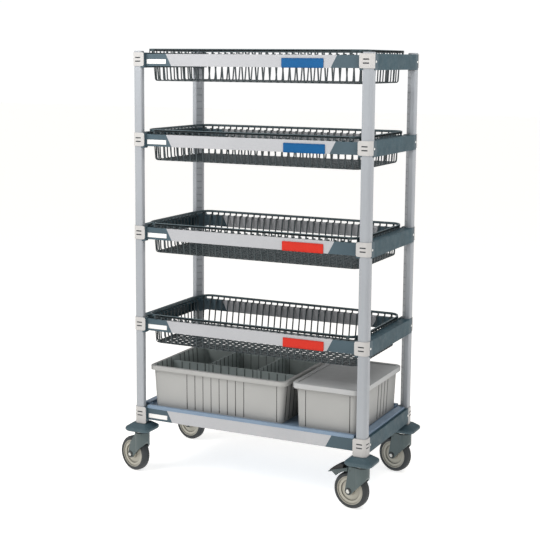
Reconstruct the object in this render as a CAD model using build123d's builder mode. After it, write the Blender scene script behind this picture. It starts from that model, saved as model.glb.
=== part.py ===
from build123d import *
import os
from math import sqrt

# A mobile glassware cart: four posts on swivel casters, five shelf frames clamped to the posts,
# four lift-out baskets, a solid bottom tray and two tote boxes that stand on it.
# X runs along the cart's length, Y from front to back, Z up from the floor.
# The origin is on the floor, under the middle of the cart. All lengths are millimetres.

# Shared clearances
seat_gap = 0.15
loose_gap = 0.3
pin_clearance = 0.05
cut_overrun = 2.0

# Posts, placed by their centres
post_spacing_x = 857.6
post_spacing_y = 422.6
post_bottom = 157.0
post_length = 1363.0
post_half = 17.5
post_face_distance = 12.7
post_outer_radius = 12.0
post_side_radius = 6.0
post_wall = 2.2
notch_pitch = 25.4
notch_height = 3.0
notch_width = 20.0
notch_depth = 0.9

# Shelf levels, counted in notches upward from the lowest rail top
bottom_rail_top = 243.8
shelf_steps = (0, 13, 13, 13, 11)

# Caps on the posts
cap_height = 4.0
cap_plug_depth = 14.0
cap_edge_radius = 2.5

# Front and rear rails
rail_height = 41.9
rail_inner_y = 204.0
rail_depth = 15.0
rail_wall = 2.0
rail_half_top = 320.0
rail_half_bottom = 298.0
end_cap_tongue = 22.0

# End rails
end_rail_rise = 4.4
end_rail_drop = 47.8
end_rail_wall = 3.4
end_rail_shelf_width = 28.6
end_rail_flange = 16.0
ledge_inner_x = 404.4
ledge_depth = 4.0

# Corner castings, collars and wedges, measured outward from the post's centre
collar_wall = 2.4
collar_inner_reach = 27.1
collar_rise = 5.4
collar_drop_upper = 42.3
collar_drop_bottom = 56.5
collar_corner_radius = 7.0
side_reach_upper = 0.0
side_reach_bottom = 17.0
casting_bevel = 22.4
wedge_thickness = 5.0
wedge_width = 22.0
wedge_height = 32.0
wedge_rib_height = 2.2
wedge_rib_depth = 0.6
wedge_pocket_width = 24.6
slot_mark_width = 21.0
slot_mark_height = 4.2
slot_mark_depth = 1.2
slot_mark_levels = (13.0, 25.7)

# Screws on the outer faces of the castings
screw_head_radius = 4.0
screw_head_rise = 1.6
screw_inward = 7.7
screw_inward_bottom = 22.2
screw_drop = 21.0
screw_shank_radius = 1.6
screw_shank_length = 2.0

# Badge plates and label holders on the front rails
badge_width = 76.5
badge_height = 15.5
badge_thickness = 0.8
badge_left_x = -395.5
badge_drop = 18.5
label_width = 150.5
label_height = 32.0
label_thickness = 2.2
label_lip_height = 1.8
label_lip_rise = 1.0
label_drop = 11.0
label_left_x = (122.0, 131.5, 130.5, 136.7)

# Baskets: the lip stands on the rails and the tub hangs between them
basket_count = 4
basket_lip_half_x = 412.0
basket_lip_half_y = 217.0
basket_lip_height = 18.0
basket_lip_wall = 3.0
basket_rim_height = 7.0
basket_rim_width = 5.5
basket_half_x = 402.4
basket_half_y = 201.0
basket_floor_half_x = 398.5
basket_floor_half_y = 186.5
basket_depth = 94.0
basket_wall = 3.0
basket_chamfer = 28.0
basket_bend = 9.0
basket_bend_shares = ((0.0, 1.0), (0.25, 0.35), (1.0, 0.0))
bar_pitch = 25.4
slot_width = 20.8
side_slot_count = 29
end_slot_count = 13
corner_slot_turn = 45
slot_floor_land = 5.2
floor_row_pitch = 89.6
floor_hole_x = 19.0
floor_hole_y = 82.0
floor_columns = 29
floor_rows = 4
floor_hole_margin = 3.0

# Bottom tray
tray_half_x = 438.0
tray_half_y = 219.3
tray_pocket_half_x = 413.0
tray_pocket_half_y = 207.0
tray_height = 12.0
tray_floor = 2.6
tray_edge_radius = 2.5
tray_corner_gap = 0.7
tray_corner_wall = 2.0

# Tote boxes
tote_height = 152.4
tote_floor = 3.4
tote_wall = 3.0
open_rim_x = (-404.0, 141.0)
open_base_x = (-383.0, 120.0)
lid_box_rim_x = (165.0, 415.0)
lid_box_base_x = (181.0, 398.0)
tote_rim_half_y = 203.5
tote_base_half_y = 191.0
tote_rim_overhang = 10.0
tote_rim_height = 15.0
tote_rim_edge = 2.5
tote_rim_corner = 24.0
tote_base_corner = 16.0
groove_pitch = 32.5
groove_width = 3.0
groove_depth = 1.3
groove_margin_bottom = 6.0
groove_margin_top = 20.0
open_side_grooves = (-252.3, -219.8, -187.3, -154.8, -122.3, -89.8, -57.3, -24.8, 102.8)
lid_box_side_grooves = (212.0, 374.7)
lid_box_end_grooves = 4
lid_box_end_start = 3.6
lid_box_end_pitch = 30.4

# Dividers inside the open tote
divider_thickness = 3.0
divider_rib = 1.6
divider_rib_width = 3.0
divider_drop = 10.0
divider_end_gap = 1.0
long_divider_y = -55.0
cross_divider_x = (-236.05, -41.05)

# Lid of the second tote
lid_overhang = 2.8
lid_skirt = 12.0
lid_skirt_wall = 2.4
lid_top_height = 5.0
lid_recess_margin = 16.0
lid_recess_depth = 2.6
lid_edge_radius = 2.0

# Bumpers round the feet of the posts: half side, corner radius and height of each outline
bumper_outlines = ((44.0, 17.0, 159.6), (47.6, 19.5, 162.0), (50.0, 21.5, 165.5), (50.0, 21.5, 171.0),
                   (48.0, 20.0, 174.0), (28.0, 9.0, 187.0))

# Caster stems, swivel races and kingpins
flange_radius = 27.0
flange_bottom = 153.0
stem_insert_top = 203.0
race_radius = 24.0
race_bottom = 149.4
kingpin_radius = 8.0
kingpin_head_radius = 12.0
kingpin_head_height = 4.0
kingpin_edge = 0.8

# Caster forks, in the caster's own frame: X along the trail, Y along the axle
fork_top = 149.0
fork_plate = 6.0
fork_head_radius = 27.0
fork_half_width = 25.0
fork_leg = 5.0
fork_head_bottom = 118.0
fork_knee_x = -18.5
fork_knee_z = 102.0
fork_trail_edge = 36.0
fork_neck_x = 10.0
fork_shoulder = (38.5, 107.0)
axle_boss_radius = 13.0
caster_trail = 37.0
caster_headings = {"front_left": 15.7, "front_right": 8.4, "rear_left": 10.0, "rear_right": 13.4}

# Wheels
wheel_radius = 63.5
wheel_width = 32.0
tread_half_flat = 9.0
tread_drop = 5.0
tread_radius = 10.0
tyre_shoulder_radius = 5.0
tyre_inner_radius = 50.0
hub_rim_radius = 46.5
hub_step_radius = 36.0
hub_boss_radius = 15.0
hub_rim_recess = 1.5
hub_step_recess = 4.5
hub_web_recess = 9.0
hub_boss_width = 38.0
axle_radius = 6.0
axle_head_radius = 7.6
axle_head_height = 5.0
axle_head_chamfer = 1.2

# Brake pedals on the two right-hand casters, in the caster's frame
brake_corners = ("front_right", "rear_right")
pedal_pivot_x = 31.0
pedal_pivot_z = 136.2
pedal_pin_radius = 3.5
pedal_pin_end_gap = 0.5
pedal_boss_radius = 5.6
pedal_neck_half_width = 18.8
pedal_half_width = 23.0
pedal_sheet = 2.6
pedal_neck_end = ((45.0, 142.6), (45.0, 130.6))
pedal_profile = ((42.5, 131.0), (58.0, 127.5), (72.0, 121.0), (87.0, 108.0), (103.0, 120.0),
                 (117.0, 116.0), (118.0, 119.0), (102.0, 126.2), (42.5, 143.4))
pedal_hollow = ((45.1, 100.0), (45.1, 139.9), (100.0, 124.1), (100.0, 100.0))
shoe_profile = ((52.0, 128.9), (58.0, 127.5), (72.0, 121.0), (80.0, 114.2), (80.0, 131.0), (52.0, 139.5))
shoe_half_width = 13.0
pad_profile = ((60.0, 138.35), (102.0, 126.2), (112.0, 121.7), (112.6, 124.0), (92.0, 141.0),
               (70.0, 153.0), (61.0, 150.0))
pad_half_width = 21.0
pad_corner_radius = 0.9

# Values worked out from the driving dimensions
os.makedirs("parts", exist_ok=True)
corners = {"front_left": (-1, -1), "front_right": (1, -1), "rear_left": (-1, 1), "rear_right": (1, 1)}
half_x = post_spacing_x / 2
half_y = post_spacing_y / 2
post_top = post_bottom + post_length
collar_out = post_half + loose_gap + collar_wall
rail_outer_y = rail_inner_y + rail_depth
end_cap_x = half_x - collar_inner_reach
end_rail_half_y = half_y - collar_inner_reach
end_rail_x = half_x + collar_out
rail_tops = [bottom_rail_top + notch_pitch * sum(shelf_steps[: k + 1]) for k in range(len(shelf_steps))]
shelf_tops = rail_tops[::-1]


def save(part, node):
    """Labels a finished piece with its node's name and writes it."""
    part.label = node
    export_step(part, f"parts/{node}.step")


def at_post(name, points):
    """Turns points measured outward from a post's centre into points in plan."""
    sx, sy = corners[name]
    return [(sx * (half_x + p), sy * (half_y + q)) for p, q in points]


def post_face(name, grow=0.0):
    """The post's section at a corner: a square with its inner corner cut off and the rest rounded."""
    a = post_half + grow
    cut = (post_face_distance + grow) * sqrt(2)
    points = at_post(name, [(a, a), (-a, a), (-a, a - cut), (a - cut, -a), (a, -a)])
    side = post_side_radius + grow
    with BuildSketch() as section:
        with BuildLine():
            FilletPolyline(*points, radius=[post_outer_radius + grow, side, side, side, side], close=True)
        make_face()
    return section.sketch


def diagonal_plane(name, distance, z):
    """A plane that faces the middle of the cart, at a distance inside a post's centre."""
    sx, sy = corners[name]
    inward = Vector(-sx, -sy, 0).normalized()
    centre = Vector(sx * half_x, sy * half_y, z)
    return Plane(origin=centre + inward * distance, x_dir=Vector(0, 0, 1).cross(inward), z_dir=inward)


def octagon(half_length, half_width, cut):
    """A rectangle in plan with its four corners cut off."""
    a, b, c = half_length, half_width, cut
    with BuildSketch() as outline:
        with BuildLine():
            Polyline((-a + c, -b), (a - c, -b), (a, -b + c), (a, b - c), (a - c, b), (-a + c, b),
                     (-a, b - c), (-a, -b + c), close=True)
        make_face()
    return outline.sketch


def prism(sketch, bottom, top):
    """A straight block over an outline in plan."""
    with BuildPart() as block:
        with BuildSketch(Plane.XY.offset(bottom)):
            add(sketch)
        extrude(amount=top - bottom)
    return block.part


def drafted(sections):
    """A ruled solid through outlines in plan, each given with its height."""
    with BuildPart() as solid:
        for z, sketch in sections:
            with BuildSketch(Plane.XY.offset(z)):
                add(sketch)
        loft(ruled=True)
    return solid.part


def joined(solids):
    """One node's separate solids gathered in one part."""
    with BuildPart() as group:
        for solid in solids:
            add(solid)
    return group.part


def at_levels(solid, tops):
    """Copies of a solid drawn at height zero, one for each rail top."""
    return [solid.moved(Location((0, 0, top))) for top in tops]


# Posts: hollow, with a row of notches on the inner face
notches_below = int((bottom_rail_top - post_bottom) // notch_pitch)
notch_count = notches_below + sum(shelf_steps) + 1
notch_middle = bottom_rail_top + notch_pitch * ((notch_count - 1) / 2 - notches_below)
for name in corners:
    with BuildPart() as post:
        with BuildSketch(Plane.XY.offset(post_bottom)):
            add(post_face(name))
            add(post_face(name, grow=-post_wall), mode=Mode.SUBTRACT)
        extrude(amount=post_length)
        with BuildSketch(diagonal_plane(name, post_face_distance, notch_middle)):
            with GridLocations(notch_pitch, notch_pitch, 1, notch_count):
                Rectangle(notch_width, notch_height)
        extrude(amount=-notch_depth, mode=Mode.SUBTRACT)
    save(post.part, f"post_{name}")

# Caps on the tops of the posts, each with a plug inside
caps = []
for name in corners:
    with BuildPart() as cap:
        add(prism(post_face(name), post_top, post_top + cap_height))
        fillet(cap.edges().group_by(Axis.Z)[-1], radius=cap_edge_radius)
        add(prism(post_face(name, grow=-post_wall - seat_gap), post_top - cap_plug_depth, post_top))
    caps.append(cap.part)
save(joined(caps), "post_caps")


def collar_band(name, side_reach):
    """The collar's section: a front plate, a rounded corner and a side plate that ends at side_reach."""
    inner = collar_out - collar_wall
    front = -collar_inner_reach
    radius = post_outer_radius + loose_gap
    outside = at_post(name, [(collar_out, -side_reach), (collar_out, collar_out), (front, collar_out),
                             (front, -side_reach)])
    far = front - cut_overrun
    low = -side_reach - cut_overrun
    inside = at_post(name, [(inner, low), (inner, inner), (far, inner), (far, low)])
    with BuildSketch() as band:
        with BuildLine():
            FilletPolyline(*outside, radius=[0, radius + collar_wall, 0, 0], close=True)
        make_face()
        with BuildLine():
            FilletPolyline(*inside, radius=[0, radius, 0, 0], close=True)
        make_face(mode=Mode.SUBTRACT)
    return band.sketch


def make_collar(name, drop, side_reach, mark_side):
    """One light collar with its two slot marks, drawn for a rail top at height zero."""
    sx, sy = corners[name]
    with BuildPart() as collar:
        with BuildSketch(Plane.XY.offset(-drop)):
            add(collar_band(name, side_reach))
        extrude(amount=collar_rise + drop)
        inner_edges = collar.edges().filter_by(Axis.Y).sort_by(Axis((0, 0, 0), (-sx, 0, 0)))[-2:]
        fillet(inner_edges, radius=collar_corner_radius)
        front = Plane(origin=(sx * half_x, sy * (half_y + collar_out), 0), x_dir=(1, 0, 0), z_dir=(0, -1, 0))
        middle = (collar_out - collar_inner_reach) / 2
        with BuildSketch(front):
            with Locations(*[(sx * middle, -level) for level in slot_mark_levels]):
                Rectangle(slot_mark_width, slot_mark_height)
        extrude(amount=sy * slot_mark_depth, mode=Mode.SUBTRACT)
        if mark_side:
            side = Plane(origin=(sx * (half_x + collar_out), sy * half_y, 0), x_dir=(0, 1, 0),
                         z_dir=(1, 0, 0))
            middle = (collar_out - side_reach) / 2
            with BuildSketch(side):
                with Locations(*[(sy * middle, -level) for level in slot_mark_levels]):
                    Rectangle(slot_mark_width, slot_mark_height)
            extrude(amount=-sx * slot_mark_depth, mode=Mode.SUBTRACT)
    return collar.part


def make_casting(name, side_reach, screw_at):
    """One dark casting that wraps the inside of a post, drawn for a rail top at height zero."""
    sx, sy = corners[name]
    reach = collar_inner_reach
    near = reach - casting_bevel
    inner = post_half
    step = -side_reach - loose_gap
    outline = at_post(name, [(-reach, inner), (-reach, -near), (-near, -reach), (collar_out, -reach),
                             (collar_out, step), (inner, step), (0, inner)])
    hole = prism(post_face(name, grow=loose_gap), -end_rail_drop, end_rail_rise)
    with BuildPart() as casting:
        with BuildSketch(Plane.XY.offset(-end_rail_drop)):
            with BuildLine():
                Polyline(*outline, close=True)
            make_face()
        extrude(amount=end_rail_rise + end_rail_drop)
        add(hole, mode=Mode.SUBTRACT)
        with BuildSketch(diagonal_plane(name, post_face_distance, (end_rail_rise - end_rail_drop) / 2)):
            Rectangle(wedge_pocket_width, end_rail_rise + end_rail_drop)
        extrude(amount=wedge_thickness + 2 * loose_gap, mode=Mode.SUBTRACT)
        side = Plane(origin=(sx * (half_x + collar_out), sy * (half_y - screw_at), -screw_drop),
                     x_dir=(0, 1, 0), z_dir=(sx, 0, 0))
        with BuildSketch(side):
            Circle(screw_shank_radius + pin_clearance)
        extrude(amount=-collar_wall, mode=Mode.SUBTRACT)
    return casting.part


def make_wedge(name):
    """One wedge with two ribs that sit in the post's notches, drawn for a rail top at height zero."""
    back = post_face_distance + seat_gap
    with BuildPart() as wedge:
        with BuildSketch(diagonal_plane(name, back, -notch_pitch / 2)):
            Rectangle(wedge_width, wedge_height)
        extrude(amount=wedge_thickness)
        with BuildSketch(diagonal_plane(name, back, -notch_pitch / 2)):
            with GridLocations(notch_pitch, notch_pitch, 1, 2):
                Rectangle(notch_width - 2 * loose_gap, wedge_rib_height)
        extrude(amount=-wedge_rib_depth - seat_gap)
    return wedge.part


def make_screw(name, screw_at):
    """One screw with a round head, drawn for a rail top at height zero."""
    sx, sy = corners[name]
    face = Plane(origin=(sx * (half_x + collar_out), sy * (half_y - screw_at), -screw_drop),
                 x_dir=(0, 1, 0), z_dir=(sx, 0, 0))
    with BuildPart() as screw:
        with BuildSketch(face):
            Circle(screw_head_radius)
        extrude(amount=screw_head_rise)
        fillet(screw.edges().sort_by(Axis((0, 0, 0), (sx, 0, 0)))[-1], radius=screw_head_rise / 2)
        with BuildSketch(face):
            Circle(screw_shank_radius)
        extrude(amount=-screw_shank_length)
    return screw.part


# Clamped joints between the posts and the shelf frames
upper_tops = shelf_tops[:-1]
lowest_top = shelf_tops[-1:]
collars = []
castings = []
wedges = []
screws = []
for name in corners:
    collars += at_levels(make_collar(name, collar_drop_upper, side_reach_upper, False), upper_tops)
    collars += at_levels(make_collar(name, collar_drop_bottom, side_reach_bottom, True), lowest_top)
    castings += at_levels(make_casting(name, side_reach_upper, screw_inward), upper_tops)
    castings += at_levels(make_casting(name, side_reach_bottom, screw_inward_bottom), lowest_top)
    wedges += at_levels(make_wedge(name), shelf_tops)
    screws += at_levels(make_screw(name, screw_inward), upper_tops)
    screws += at_levels(make_screw(name, screw_inward_bottom), lowest_top)
save(joined(collars), "post_collars")
save(joined(castings), "corner_castings")
save(joined(wedges), "post_wedges")
save(joined(screws), "rail_screws")

# Front and rear rails: box tubes with slanted ends
with BuildPart() as rail:
    with BuildSketch(Plane(origin=(0, rail_inner_y, 0), x_dir=(1, 0, 0), z_dir=(0, -1, 0))):
        with BuildLine():
            Polyline((-rail_half_top, 0), (rail_half_top, 0), (rail_half_bottom, -rail_height),
                     (-rail_half_bottom, -rail_height), close=True)
        make_face()
    extrude(amount=-rail_depth)
    with BuildSketch(Plane.YZ):
        with Locations((rail_inner_y + rail_depth / 2, -rail_height / 2)):
            Rectangle(rail_depth - 2 * rail_wall, rail_height - 2 * rail_wall)
    extrude(amount=rail_half_top, both=True, mode=Mode.SUBTRACT)
for number, top in enumerate(shelf_tops, start=1):
    rear = rail.part.moved(Location((0, 0, top)))
    save(rear, f"shelf_{number}_rear_rail")
    save(rail.part.moved(Location((0, 0, top), (0, 0, 180))), f"shelf_{number}_front_rail")

# Caps that close the slanted ends of the tubes, each with a tongue inside the tube
with BuildPart() as end_cap:
    with BuildSketch(Plane(origin=(0, rail_inner_y, 0), x_dir=(1, 0, 0), z_dir=(0, -1, 0))):
        with BuildLine():
            Polyline((rail_half_top, 0), (end_cap_x, 0), (end_cap_x, -rail_height),
                     (rail_half_bottom, -rail_height), close=True)
        make_face()
    extrude(amount=-rail_depth)
    with BuildSketch(Plane.YZ.offset(rail_half_bottom - end_cap_tongue)):
        with Locations((rail_inner_y + rail_depth / 2, -rail_height / 2)):
            Rectangle(rail_depth - 2 * rail_wall - 2 * seat_gap, rail_height - 2 * rail_wall - 2 * seat_gap)
    extrude(amount=rail_half_top - rail_half_bottom + end_cap_tongue)
end_caps = []
for other in (mirror(end_cap.part, Plane.XZ), end_cap.part):
    end_caps += at_levels(other, shelf_tops)
    end_caps += at_levels(mirror(other, Plane.YZ), shelf_tops)
save(joined(end_caps), "rail_end_caps")

# End rails: channels with a ledge for the baskets and the tray
end_rail_inner_x = end_rail_x - end_rail_shelf_width
with BuildPart() as end_rail:
    with BuildSketch(Plane.XZ.offset(-end_rail_half_y)):
        with BuildLine():
            Polyline((end_rail_x, end_rail_rise), (end_rail_inner_x - end_rail_wall, end_rail_rise),
                     (end_rail_inner_x - end_rail_wall, 0), (ledge_inner_x, 0), (ledge_inner_x, -ledge_depth),
                     (end_rail_inner_x, -ledge_depth), (end_rail_inner_x, end_rail_rise - end_rail_wall),
                     (end_rail_x - end_rail_wall, end_rail_rise - end_rail_wall),
                     (end_rail_x - end_rail_wall, end_rail_wall - end_rail_drop),
                     (end_rail_x - end_rail_flange, end_rail_wall - end_rail_drop),
                     (end_rail_x - end_rail_flange, -end_rail_drop), (end_rail_x, -end_rail_drop), close=True)
        make_face()
    extrude(amount=2 * end_rail_half_y)
end_rail_pair = joined([end_rail.part, mirror(end_rail.part, Plane.YZ)])
for number, top in enumerate(shelf_tops, start=1):
    save(end_rail_pair.moved(Location((0, 0, top))), f"shelf_{number}_end_rails")

# Badge plates and label holders
badges = []
for top in shelf_tops:
    with BuildPart() as badge:
        with BuildSketch(Plane(origin=(0, -rail_outer_y, 0), x_dir=(1, 0, 0), z_dir=(0, -1, 0))):
            with Locations((badge_left_x + badge_width / 2, top - badge_drop - badge_height / 2)):
                RectangleRounded(badge_width, badge_height, badge_thickness)
        extrude(amount=badge_thickness)
    badges.append(badge.part)
save(joined(badges), "badge_plates")
holders = []
for left_x, top in zip(label_left_x, shelf_tops):
    middle_x = left_x + label_width / 2
    middle_z = top - label_drop - label_height / 2
    with BuildPart() as holder:
        with BuildSketch(Plane(origin=(middle_x, -rail_outer_y, middle_z), x_dir=(1, 0, 0),
                               z_dir=(0, -1, 0))):
            Rectangle(label_width, label_height)
        extrude(amount=label_thickness)
        fillet(holder.edges().filter_by(Axis.Y), radius=label_thickness)
        lip_y = -rail_outer_y - label_thickness
        with BuildSketch(Plane(origin=(middle_x, lip_y, middle_z), x_dir=(1, 0, 0), z_dir=(0, -1, 0))):
            with GridLocations(1, label_height - 2 * label_lip_height, 1, 2):
                Rectangle(label_width - 2 * label_thickness, label_lip_height)
        extrude(amount=label_lip_rise)
    holders.append(holder.part)
save(joined(holders[:2]), "label_holders_blue")
save(joined(holders[2:]), "label_holders_red")

# Baskets, drawn for a rail top at height zero
tub_bottom = -basket_depth
shoulder_top = loose_gap + basket_wall


def tub_sections(inset, floor_z, top_z):
    """Outlines of the tub from the bend at its floor to its shoulder, drawn inward by an inset."""
    sections = []
    cut = basket_chamfer - inset * (2 - sqrt(2))
    for rise, inward in basket_bend_shares:
        back = inset + basket_bend * inward
        outline = octagon(basket_floor_half_x - back, basket_floor_half_y - back, cut)
        sections.append((floor_z + basket_bend * rise, outline))
    sections.append((top_z, octagon(basket_half_x - inset, basket_half_y - inset, cut)))
    return sections


lip_outer = octagon(basket_lip_half_x, basket_lip_half_y, basket_chamfer)
lip_inner = octagon(basket_lip_half_x - basket_lip_wall, basket_lip_half_y - basket_lip_wall,
                    basket_chamfer - basket_lip_wall * (2 - sqrt(2)))
rim_inner = octagon(basket_lip_half_x - basket_rim_width, basket_lip_half_y - basket_rim_width,
                    basket_chamfer - basket_rim_width * (2 - sqrt(2)))
rim_bottom = basket_lip_height - basket_rim_height
slot_start_y = floor_row_pitch * (floor_rows - 1) / 2 + floor_hole_y / 2 + slot_floor_land
slot_start_x = basket_floor_half_x - basket_bend + cut_overrun
slot_reach_x = basket_lip_half_x + cut_overrun - slot_start_x
slot_reach_y = basket_lip_half_y + cut_overrun - slot_start_y
corner_floor = basket_floor_half_x + basket_floor_half_y - 2 * basket_bend - basket_chamfer
corner_slot_start = corner_floor / sqrt(2) + cut_overrun
corner_lip = basket_lip_half_x + basket_lip_half_y - basket_chamfer
corner_slot_reach = corner_lip / sqrt(2) + cut_overrun - corner_slot_start
corner_slot_out = corner_slot_start + corner_slot_reach / 2
corner_slot_along = (basket_half_x - basket_half_y) / sqrt(2)
corner_slot_x = (corner_slot_out + corner_slot_along) / sqrt(2)
corner_slot_y = (corner_slot_out - corner_slot_along) / sqrt(2)
with BuildPart() as basket:
    add(prism(lip_outer, loose_gap, basket_lip_height))
    add(prism(lip_inner, shoulder_top, rim_bottom), mode=Mode.SUBTRACT)
    add(prism(rim_inner, rim_bottom, basket_lip_height), mode=Mode.SUBTRACT)
    add(drafted(tub_sections(0, tub_bottom, shoulder_top)))
    add(drafted(tub_sections(basket_wall, tub_bottom + basket_wall, shoulder_top)), mode=Mode.SUBTRACT)
    with BuildSketch(Plane.XY.offset(tub_bottom)):
        with GridLocations(bar_pitch, 2 * slot_start_y + slot_reach_y, side_slot_count, 2):
            Rectangle(slot_width, slot_reach_y)
        with GridLocations(2 * slot_start_x + slot_reach_x, bar_pitch, 2, end_slot_count):
            Rectangle(slot_reach_x, slot_width)
        for sx, sy in corners.values():
            with Locations((sx * corner_slot_x, sy * corner_slot_y)):
                Rectangle(corner_slot_reach, slot_width, rotation=sx * sy * corner_slot_turn)
    extrude(amount=rim_bottom - tub_bottom, mode=Mode.SUBTRACT)
    with BuildSketch(Plane.XY.offset(tub_bottom)):
        with GridLocations(bar_pitch, floor_row_pitch, floor_columns, floor_rows):
            Rectangle(floor_hole_x, floor_hole_y)
        flat = basket_bend + floor_hole_margin
        add(octagon(basket_floor_half_x - flat, basket_floor_half_y - basket_bend, basket_chamfer),
            mode=Mode.INTERSECT)
    extrude(amount=basket_wall, mode=Mode.SUBTRACT)
for number in range(1, basket_count + 1):
    save(basket.part.moved(Location((0, 0, shelf_tops[number - 1]))), f"basket_{number}")

# Bottom tray, with its corners cut out round the posts
tray_cut_x = end_cap_x - tray_corner_gap
tray_cut_y = end_rail_half_y - tray_corner_gap


def cross_outline(half_length, half_width, inset):
    """A rectangle in plan with a square notch at each corner."""
    a, b = half_length, half_width
    c, d = tray_cut_x - inset, tray_cut_y - inset
    with BuildSketch() as outline:
        Rectangle(2 * a, 2 * b)
        with GridLocations(a + c, b + d, 2, 2):
            Rectangle(a - c, b - d, mode=Mode.SUBTRACT)
    return outline.sketch


tray_z = shelf_tops[-1]
with BuildPart() as bottom_tray:
    add(prism(cross_outline(tray_half_x, tray_half_y, 0), tray_z + loose_gap, tray_z + tray_height))
    fillet(bottom_tray.edges().group_by(Axis.Z)[-1], radius=tray_edge_radius)
    pocket = cross_outline(tray_pocket_half_x, tray_pocket_half_y, tray_corner_wall)
    add(prism(pocket, tray_z + loose_gap + tray_floor, tray_z + tray_height), mode=Mode.SUBTRACT)
    with BuildSketch(Plane.XY.offset(tray_z)):
        relief_start = tray_pocket_half_x + tray_floor
        relief_width = tray_half_x + cut_overrun - relief_start
        with GridLocations(2 * relief_start + relief_width, 1, 2, 1):
            Rectangle(relief_width, 2 * tray_half_y)
    extrude(amount=end_rail_rise + loose_gap, mode=Mode.SUBTRACT)
save(bottom_tray.part, "bottom_tray")

# Tote boxes
tote_bottom = tray_z + 2 * loose_gap + tray_floor
tote_top = tote_bottom + tote_height
tote_wall_half_y = tote_rim_half_y - tote_rim_overhang


def rounded(x_range, half_width, inset, radius):
    """A rounded rectangle in plan, drawn inward by an inset."""
    low, high = x_range
    with BuildSketch() as outline:
        with Locations(((low + high) / 2, 0)):
            RectangleRounded(high - low - 2 * inset, 2 * (half_width - inset), radius - inset)
    return outline.sketch


def wall_plane(base_x, rim_x, direction, along):
    """A plane on a tote's sloping wall, at half height: direction is (1, 0) for the right end and so on."""
    dx, dy = direction
    low, high = base_x[0], base_x[1]
    top_low, top_high = rim_x[0] + tote_rim_overhang, rim_x[1] - tote_rim_overhang
    if dx:
        bottom_at = high if dx > 0 else -low
        top_at = top_high if dx > 0 else -top_low
        origin = (dx * (bottom_at + top_at) / 2, along, tote_bottom + tote_height / 2)
    else:
        bottom_at, top_at = tote_base_half_y, tote_wall_half_y
        origin = (along, dy * (bottom_at + top_at) / 2, tote_bottom + tote_height / 2)
    lean = (top_at - bottom_at) / tote_height
    return Plane(origin=origin, x_dir=(-dy, dx, 0), z_dir=(dx, dy, -lean))


def make_tote(base_x, rim_x, side_grooves, right_end_grooves, left_end_grooves):
    """A box with sloping walls, a turned-down rim and shallow upright grooves outside."""
    wall_x = (rim_x[0] + tote_rim_overhang, rim_x[1] - tote_rim_overhang)
    wall_corner = tote_rim_corner - tote_rim_overhang / 2
    rim_bottom_z = tote_top - tote_rim_height
    with BuildPart() as tote:
        add(prism(rounded(rim_x, tote_rim_half_y, 0, tote_rim_corner), rim_bottom_z, tote_top))
        fillet(tote.edges().group_by(Axis.Z)[-1], radius=tote_rim_edge / 2)
        add(prism(rounded(rim_x, tote_rim_half_y, tote_rim_edge, tote_rim_corner), rim_bottom_z,
                  tote_top - tote_rim_edge), mode=Mode.SUBTRACT)
        add(drafted([(tote_bottom, rounded(base_x, tote_base_half_y, 0, tote_base_corner)),
                     (tote_top - tote_rim_edge / 2, rounded(wall_x, tote_wall_half_y, 0, wall_corner))]))
        hollow_base = rounded(base_x, tote_base_half_y, tote_wall, tote_base_corner)
        hollow_top = rounded(wall_x, tote_wall_half_y, tote_wall, wall_corner)
        hollow_sections = [(tote_bottom + tote_floor, hollow_base), (tote_top, hollow_top)]
        add(drafted(hollow_sections), mode=Mode.SUBTRACT)
        planes = [wall_plane(base_x, rim_x, (0, side), x) for side in (-1, 1) for x in side_grooves]
        planes += [wall_plane(base_x, rim_x, (1, 0), y) for y in right_end_grooves]
        planes += [wall_plane(base_x, rim_x, (-1, 0), y) for y in left_end_grooves]
        groove_length = tote_height - groove_margin_bottom - groove_margin_top
        with BuildSketch(*planes):
            with Locations((0, (groove_margin_bottom - groove_margin_top) / 2)):
                Rectangle(groove_width, groove_length)
        extrude(amount=-groove_depth, mode=Mode.SUBTRACT)
    return tote.part


open_ends = [groove_pitch * k for k in (-5, -4, -3, -2, 0, 1, 2, 3, 4)]
lid_ends = [lid_box_end_start + lid_box_end_pitch * k for k in range(lid_box_end_grooves)]
save(make_tote(open_base_x, open_rim_x, open_side_grooves, open_ends, open_ends), "open_tote")
save(make_tote(lid_box_base_x, lid_box_rim_x, lid_box_side_grooves, lid_ends, lid_ends), "lidded_tote")

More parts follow.
